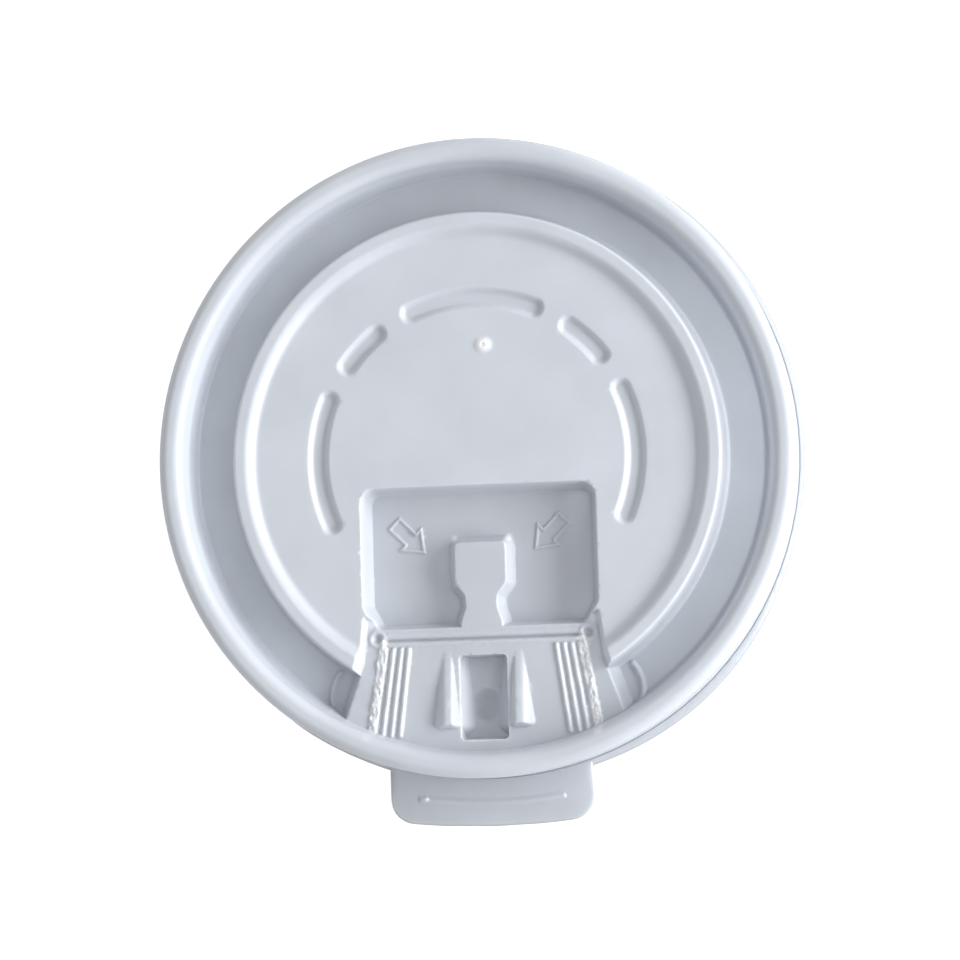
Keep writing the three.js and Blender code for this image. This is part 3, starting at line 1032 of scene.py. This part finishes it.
            number[rows] = len(c) + np.arange(len(rows))
            nc, ns, nl = self.between(c, s, along, a[rows], b[rows], 0.5)
            c, s, along = np.concatenate([c, nc]), np.concatenate([s, ns]), np.concatenate([along, nl])
            point = np.concatenate([point, self.place(nc, ns, nl)])
            order = (longest[:, None] + np.arange(3)) % 3
            corners = np.take_along_axis(corners, order, 1)
            mids = np.take_along_axis(number[which], order, 1)
            corners = self.cut(corners, mids)
        LOG.info("surface: %d vertices, %d triangles after %d rounds", len(c), len(corners), turn_no + 1)
        return c, s, along, point, corners

    @staticmethod
    def cut(corners: Array, mids: Array) -> Array:
        """Cuts triangles whose first edge is the longest, at the middles that are not negative.

        Args:
            corners: Three vertices in each row.
            mids: The middle vertex of the edge after each corner, or minus one.

        Returns:
            The new triangles, in the same turning sense.
        """
        p, q, r = corners.T
        m, n, o = mids.T
        none, one = m < 0, (m >= 0) & (n < 0) & (o < 0)
        right, left = (m >= 0) & (n >= 0) & (o < 0), (m >= 0) & (n < 0) & (o >= 0)
        three = (m >= 0) & (n >= 0) & (o >= 0)
        pieces = [(none, (p, q, r)), (one, (p, m, r)), (one, (m, q, r)),
                  (right, (p, m, r)), (right, (m, q, n)), (right, (m, n, r)),
                  (left, (m, q, r)), (left, (p, m, o)), (left, (m, r, o)),
                  (three, (p, m, o)), (three, (m, q, n)), (three, (m, n, r)), (three, (m, r, o))]
        return np.concatenate([np.stack([v[rows] for v in tri], 1) for rows, tri in pieces])

    def normals(self, c: Array, s: Array, along: Array, point: Array) -> Array:
        """Unit normals, from the heights a little aside inside the crown and along the profile outside it.

        Args:
            c: Cosine of each vertex's direction.
            s: Sine of each vertex's direction.
            along: Length along the profile to each vertex.
            point: The vertices' places.

        Returns:
            Minus both slopes and one, or the cross product of the ways onward and ahead, made one long.
        """
        h, shape = self.aside, self.shape
        normal = np.zeros_like(point)
        over, below = along <= shape.crown, along >= shape.total - shape.crown
        for rows, side in ((over, Side.TOP), (below, Side.UNDER)):
            x, y = point[rows, 0], point[rows, 1]
            dx = (self.height(x + h, y, side) - self.height(x - h, y, side)) / (2 * h)
            dy = (self.height(x, y + h, side) - self.height(x, y - h, side)) / (2 * h)
            normal[rows] = np.stack([-dx, -dy, np.ones_like(dx)], 1) * side.value
        rows = ~(over | below)
        cw, sw, at = c[rows], s[rows], along[rows]
        turn = h / 45.0
        ahead = self.place(cw - turn * sw, sw + turn * cw, at) - self.place(cw + turn * sw, sw - turn * cw, at)
        onward = self.place(cw, sw, np.minimum(at + h, shape.total)) - self.place(cw, sw, at - h)
        normal[rows] = np.cross(onward, ahead)
        return normal / np.maximum(np.linalg.norm(normal, axis=1), 1e-9)[:, None]

    def whitening_and_brim_highlight(self, point: Array) -> Array:
        """How far the sheet was stretched or crushed, which turns it white there, and a painted highlight along
        the narrow pocket's brim.

        Args:
            point: The vertices' places.

        Returns:
            None to one: the most of the bells round the spots, the ribs and the narrow pocket's edge, whose
                white is partly stress whitening and partly a painted highlight.
        """
        x, y, z = point.T
        stress_and_highlight = np.zeros(len(x))
        spots = [(self.vent.x, self.vent.y, 1.5, 1.0), (self.vent.x, self.vent.y, 0.9, 1.3),
                 (*self.tab.pimple, 0.5, 1.0)]
        for side in (-1, 1):
            spots += [(side * (self.post.half_width + 0.2), self.post.back + 0.6, 0.75, 0.8),
                      (side * (self.hinge.dimple[0] - 1.0), self.hinge.dimple[1] - 0.6, 0.8, 1.0),
                      (side * 15.9, -23.3, 1.2, 0.4)]
        for px, py, size, strength in spots:
            np.maximum(stress_and_highlight, strength * bump(np.hypot(x - px, y - py) / size), out=stress_and_highlight)
        for a, b, half in self.ribs.lines():
            gap = strip_gap(x, y, a, b, half)
            worn = 0.55 + 0.45 * ripple(x * 2.2, y * 0.9, 21)
            np.maximum(stress_and_highlight, (0.32 if half < 0.4 else 0.6) * worn * ramp(1 - gap / 0.25), out=stress_and_highlight)
        # Painted highlight: the narrow pocket's brim turns white in the colour at both sides and the front,
        # partly as stress whitening.
        hole = self.keyhole
        gap = np.hypot(np.maximum(np.abs(x) - hole.half_width - 0.2, 0), np.maximum(hole.front - 0.2 - y, 0))
        edge = ramp(1 - np.abs(np.maximum(np.abs(x) - hole.half_width, hole.front - y) - 0.25) / 0.3)
        brim_highlight_zone = (z > self.panel.height - 0.6) & (gap < 0.6) & (y < hole.back) & (y > hole.front - 0.8)
        np.maximum(stress_and_highlight, (0.28 + 0.15 * ripple(x * 0.9, y * 0.9, 31)) * edge * brim_highlight_zone, out=stress_and_highlight)
        return np.clip(stress_and_highlight, 0, 1) * (z > 0.2)

    def build(self) -> bpy.types.Object:
        """Makes the mesh in metres, with its normals and the whitening with the painted brim highlight as a
        vertex attribute.

        Returns:
            The piece, linked into the scene.
        """
        tolerance, rounds = ((self.tolerance, 13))
        c, s, along, point, corners = self.triangles(tolerance, rounds)
        placed = (point - (0.0, 0.0, self.shape.panel)) * MM
        mesh = bpy.data.meshes.new("lid_sheet_surface")
        mesh.from_pydata(placed, [], corners)
        mesh.polygons.foreach_set("use_smooth", np.ones(len(corners), bool))
        layer = mesh.attributes.new("whitening_and_brim_highlight", "FLOAT", "POINT")
        layer.data.foreach_set("value", self.whitening_and_brim_highlight(point))
        mesh.update()
        mesh.normals_split_custom_set_from_vertices(self.normals(c, s, along, point))
        piece = bpy.data.objects.new("lid_sheet_surface", mesh)
        bpy.context.scene.collection.objects.link(piece)
        return piece


# Finish, floor, light and camera.


def add_node(nodes: bpy.types.Nodes, kind: str,
             inputs: dict[str | int, float | tuple[float, ...]]) -> bpy.types.Node:
    """Adds a node and sets its inputs.

    Args:
        nodes: The nodes that it joins.
        kind: Its type.
        inputs: The value of each input that isn't left as it comes.

    Returns:
        The node.
    """
    node = nodes.new(kind)
    for name, value in inputs.items():
        node.inputs[name].default_value = value
    return node


@dataclass(frozen=True)
class LidPlastic:
    """Milky gloss plastic sheet, with a fine uneven surface, white where it was stretched, a painted highlight
    along the narrow pocket's brim, and painted shade that darkens it the lower it lies below the panel top.
    """

    colour: tuple[float, float, float] = (0.60, 0.635, 0.69)
    white: tuple[float, float, float] = (0.95, 0.955, 0.96)
    roughness: float = 0.36
    # Painted shade: the colour's share where the surface lies deepest below the panel top, and the depths in
    # metres over which it darkens.
    recess_shade: float = 0.88
    recess_shade_depth: tuple[float, float] = (-0.0018, -0.0002)
    clear: float = 0.95
    clear_slant: tuple[float, float] = (0.38, 0.68)

    def make(self) -> bpy.types.Material:
        """Builds the material's nodes.

        Returns:
            A material that reads Object coordinates and the attribute of whitening and painted brim highlight.
        """
        material = bpy.data.materials.new("milky_lid_plastic")
        material.use_nodes = True
        nodes, links = material.node_tree.nodes, material.node_tree.links
        shader = next(n for n in nodes if n.type == "BSDF_PRINCIPLED")
        place = nodes.new("ShaderNodeTexCoord")
        cloud = add_node(nodes, "ShaderNodeTexNoise", {"Scale": 90.0, "Detail": 3.0})
        links.new(place.outputs["Object"], cloud.inputs["Vector"])
        tint = nodes.new("ShaderNodeValToRGB")
        low, high = tint.color_ramp.elements
        low.position, high.position = 0.35, 0.7
        low.color = (*[v * 0.965 for v in self.colour], 1)
        high.color = (*[min(v * 1.03, 1) for v in self.colour], 1)
        links.new(cloud.outputs["Fac"], tint.inputs["Fac"])
        # Painted shade: the colour darkens the lower the surface lies below the panel top, so that slot floors,
        # pockets and the trough look shaded.
        depth = nodes.new("ShaderNodeSeparateXYZ")
        links.new(place.outputs["Object"], depth.inputs[0])
        recess_shade_factor = add_node(nodes, "ShaderNodeMapRange", {
            "From Min": self.recess_shade_depth[0], "From Max": self.recess_shade_depth[1],
            "To Min": self.recess_shade, "To Max": 1.0})
        links.new(depth.outputs["Z"], recess_shade_factor.inputs["Value"])
        recess_shade = nodes.new("ShaderNodeVectorMath")
        recess_shade.operation = "SCALE"
        links.new(tint.outputs["Color"], recess_shade.inputs[0])
        links.new(recess_shade_factor.outputs["Result"], recess_shade.inputs["Scale"])
        # Stress whitening, together with the painted highlight along the narrow pocket's brim, mixes the colour
        # towards white.
        whitening_and_highlight_share = nodes.new("ShaderNodeAttribute")
        whitening_and_highlight_share.attribute_name = "whitening_and_brim_highlight"
        mix = nodes.new("ShaderNodeMix")
        mix.data_type = "RGBA"
        mix.inputs[7].default_value = (*self.white, 1)
        links.new(whitening_and_highlight_share.outputs["Fac"], mix.inputs["Factor"])
        links.new(recess_shade.outputs[0], mix.inputs[6])
        links.new(mix.outputs[2], shader.inputs["Base Color"])
        for name, value in (("Roughness", self.roughness), ("IOR", 1.5), ("Subsurface Weight", 0.6),
                            ("Subsurface Radius", (1.0, 1.0, 1.0)), ("Subsurface Scale", 0.0006)):
            shader.inputs[name].default_value = value
        grain = add_node(nodes, "ShaderNodeTexNoise", {"Scale": 700.0, "Detail": 2.0})
        links.new(place.outputs["Object"], grain.inputs["Vector"])
        uneven = add_node(nodes, "ShaderNodeBump", {"Strength": 0.05, "Distance": 0.0003})
        links.new(grain.outputs["Fac"], uneven.inputs["Height"])
        links.new(uneven.outputs["Normal"], shader.inputs["Normal"])
        self.let_light_through(nodes, links, shader)
        return material

    def let_light_through(self, nodes: bpy.types.Nodes, links: bpy.types.NodeLinks,
                          shader: bpy.types.Node) -> None:
        """Lets lamp light pass the thin sheet where it meets a wall squarely, and none at a slant.

        Args:
            nodes: The material's nodes.
            links: The material's links.
            shader: The plastic's shader.
        """
        out = next(n for n in nodes if n.type == "OUTPUT_MATERIAL")
        slant = add_node(nodes, "ShaderNodeLayerWeight", {"Blend": 0.5})
        share = add_node(nodes, "ShaderNodeMapRange", {
            "From Min": self.clear_slant[0], "From Max": self.clear_slant[1],
            "To Min": self.clear, "To Max": 0.0})
        links.new(slant.outputs["Facing"], share.inputs["Value"])
        rays = nodes.new("ShaderNodeLightPath")
        passing = nodes.new("ShaderNodeMath")
        passing.operation = "MULTIPLY"
        links.new(rays.outputs["Is Shadow Ray"], passing.inputs[0])
        links.new(share.outputs["Result"], passing.inputs[1])
        clear = nodes.new("ShaderNodeBsdfTransparent")
        blend = nodes.new("ShaderNodeMixShader")
        links.new(passing.outputs[0], blend.inputs[0])
        links.new(shader.outputs[0], blend.inputs[1])
        links.new(clear.outputs[0], blend.inputs[2])
        links.new(blend.outputs[0], out.inputs["Surface"])


@dataclass
class Studio:
    """Pale floor, soft light and the camera of the photograph."""

    floor_size: float = 3.0
    floor_level: float = -0.0076
    floor_glow: float = 0.62
    azimuth: float = -34.1
    tilt: float = 9.07
    roll: float = -1.71
    distance: float = 500.0
    scale: float = 6.963
    shift: tuple[float, float] = (2.9, -19.0)

    def floor(self) -> bpy.types.Object:
        """Makes the floor, white to the camera save for the object's shadow.

        Returns:
            The floor, staged.
        """
        half = 0.5 * self.floor_size
        mesh = bpy.data.meshes.new("floor")
        mesh.from_pydata([(-half, -half, self.floor_level), (half, -half, self.floor_level),
                          (half, half, self.floor_level), (-half, half, self.floor_level)], [], [(0, 1, 2, 3)])
        floor = bpy.data.objects.new("floor", mesh)
        bpy.context.scene.collection.objects.link(floor)
        material = bpy.data.materials.new("pale_floor")
        material.use_nodes = True
        nodes, links = material.node_tree.nodes, material.node_tree.links
        nodes.clear()
        matt = add_node(nodes, "ShaderNodeBsdfDiffuse", {"Color": (0.86, 0.865, 0.87, 1)})
        glow = add_node(nodes, "ShaderNodeEmission", {"Color": (1, 1, 1, 1)})
        rays = nodes.new("ShaderNodeLightPath")
        seen = nodes.new("ShaderNodeMath")
        seen.operation = "MAXIMUM"
        links.new(rays.outputs["Is Camera Ray"], seen.inputs[0])
        links.new(rays.outputs["Is Transmission Ray"], seen.inputs[1])
        dim = add_node(nodes, "ShaderNodeMath", {1: self.floor_glow})
        dim.operation = "MULTIPLY"
        links.new(seen.outputs[0], dim.inputs[0])
        links.new(dim.outputs[0], glow.inputs["Strength"])
        both = nodes.new("ShaderNodeAddShader")
        out = nodes.new("ShaderNodeOutputMaterial")
        links.new(matt.outputs[0], both.inputs[0])
        links.new(glow.outputs[0], both.inputs[1])
        links.new(both.outputs[0], out.inputs["Surface"])
        mesh.materials.append(material)
        return floor

    def lamp(self, name: str, place: tuple[float, float, float], size: tuple[float, float],
             power: float) -> None:
        """Hangs one soft lamp, turned to the lid.

        Args:
            name: The lamp's name.
            place: Where it hangs, in metres.
            size: Its width and height in metres.
            power: Its power in watts.
        """
        data = bpy.data.lights.new(name, "AREA")
        data.shape, data.size, data.size_y, data.energy = "RECTANGLE", *size, power
        lamp = bpy.data.objects.new(name, data)
        lamp.location = place
        lamp.rotation_euler = (-Vector(place)).to_track_quat("-Z", "Y").to_euler()
        bpy.context.scene.collection.objects.link(lamp)

    def light(self) -> None:
        """Lights the lid from the right, over an even pale surround."""
        world = bpy.data.worlds.new("soft_surround")
        bpy.context.scene.world = world
        world.use_nodes = True
        surround = world.node_tree.nodes["Background"]
        surround.inputs["Color"].default_value = (1.0, 0.995, 0.985, 1)
        surround.inputs["Strength"].default_value = 0.61
        self.lamp("key_lamp", (0.97, 0.0, 0.42), (1.3, 0.4), 17.0)

    def camera(self, base: float) -> None:
        """Sets the camera by the viewing angle found for the photograph.

        Args:
            base: Height of the lip's bottom in metres, which the distance is measured from.
        """
        az, tilt, roll = (math.radians(v) for v in (self.azimuth, self.tilt, self.roll))
        back = Vector((math.sin(tilt) * math.cos(az), math.sin(tilt) * math.sin(az), math.cos(tilt)))
        right = Vector((0, 1, 0)).cross(back).normalized()
        up = back.cross(right)
        across = right * math.cos(roll) + up * math.sin(roll)
        above = up * math.cos(roll) - right * math.sin(roll)
        data = bpy.data.cameras.new("camera")
        data.sensor_width = 36.0
        data.lens = self.scale * self.distance * 36.0 / 960.0
        data.shift_x, data.shift_y = -self.shift[0] / 960.0, self.shift[1] / 960.0
        camera = bpy.data.objects.new("camera", data)
        turn = Matrix((across, above, back)).transposed().to_4x4()
        camera.matrix_world = Matrix.Translation(back * self.distance * MM + Vector((0, 0, base))) @ turn
        bpy.context.scene.collection.objects.link(camera)
        bpy.context.scene.camera = camera


def main() -> None:
    """Builds the lid, its finish, the floor, the light and the camera, and logs when each is made."""
    logging.basicConfig(level=logging.INFO, format="%(name)s: %(message)s")
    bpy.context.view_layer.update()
    low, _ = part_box("lid")
    scene = bpy.context.scene
    scene.view_settings.view_transform = "Standard"
    skin = LidSkin()
    piece = skin.build()
    piece.data.materials.append(LidPlastic().make())
    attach(piece, "root")
    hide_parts("lid")
    LOG.info("lid sheet made")
    studio = Studio()
    studio.floor()
    studio.light()
    studio.camera(low.z)
    LOG.info("floor, light and camera made")


if __name__ == "__main__":
    main()
